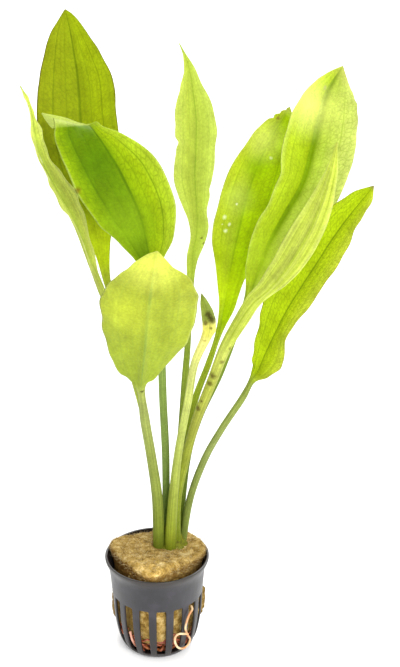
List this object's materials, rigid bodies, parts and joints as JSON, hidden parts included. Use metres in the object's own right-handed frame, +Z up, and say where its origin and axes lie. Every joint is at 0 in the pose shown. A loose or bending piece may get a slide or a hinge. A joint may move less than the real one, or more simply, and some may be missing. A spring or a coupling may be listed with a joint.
{
  "type": "potted amazon sword plant",
  "caption": "Aquarium sword plant with long-stalked oval leaves fanning out of a rockwool block in a slotted net pot.",
  "frame": {"origin": "centre of the pot's flat underside, on the pot's axis", "axes": "+Z up along the pot's axis, -Y towards the picture's camera, +X to the right in the picture"},
  "size_m": [0.1644, 0.1561, 0.3019],
  "materials": {
    "pot_plastic": "dark blue-grey moulded plastic, satin",
    "rockwool": "damp golden-brown mineral wool, coarse and fibrous",
    "rootstock": "pale fleshy plant tissue",
    "leaf": "thin yellow-green leaf, soft sheen, lets light through",
    "root": "pale to orange-brown root, slightly translucent"
  },
  "bodies": {
    "root": {"net_pot": "pot_plastic", "rockwool_plug": "rockwool", "crown": "rootstock", "leaf_back_left": "leaf", "leaf_arched_left": "leaf", "leaf_edge_left": "leaf", "leaf_front_round": "leaf", "leaf_back_centre": "leaf", "leaf_stub": "leaf", "leaf_right_inner": "leaf", "leaf_right_tall": "leaf", "leaf_right_front": "leaf", "leaf_right_low": "leaf", "root_loop": "root", "root_left": "root", "root_front": "root", "root_coil": "root"}
  },
  "joints": []
}
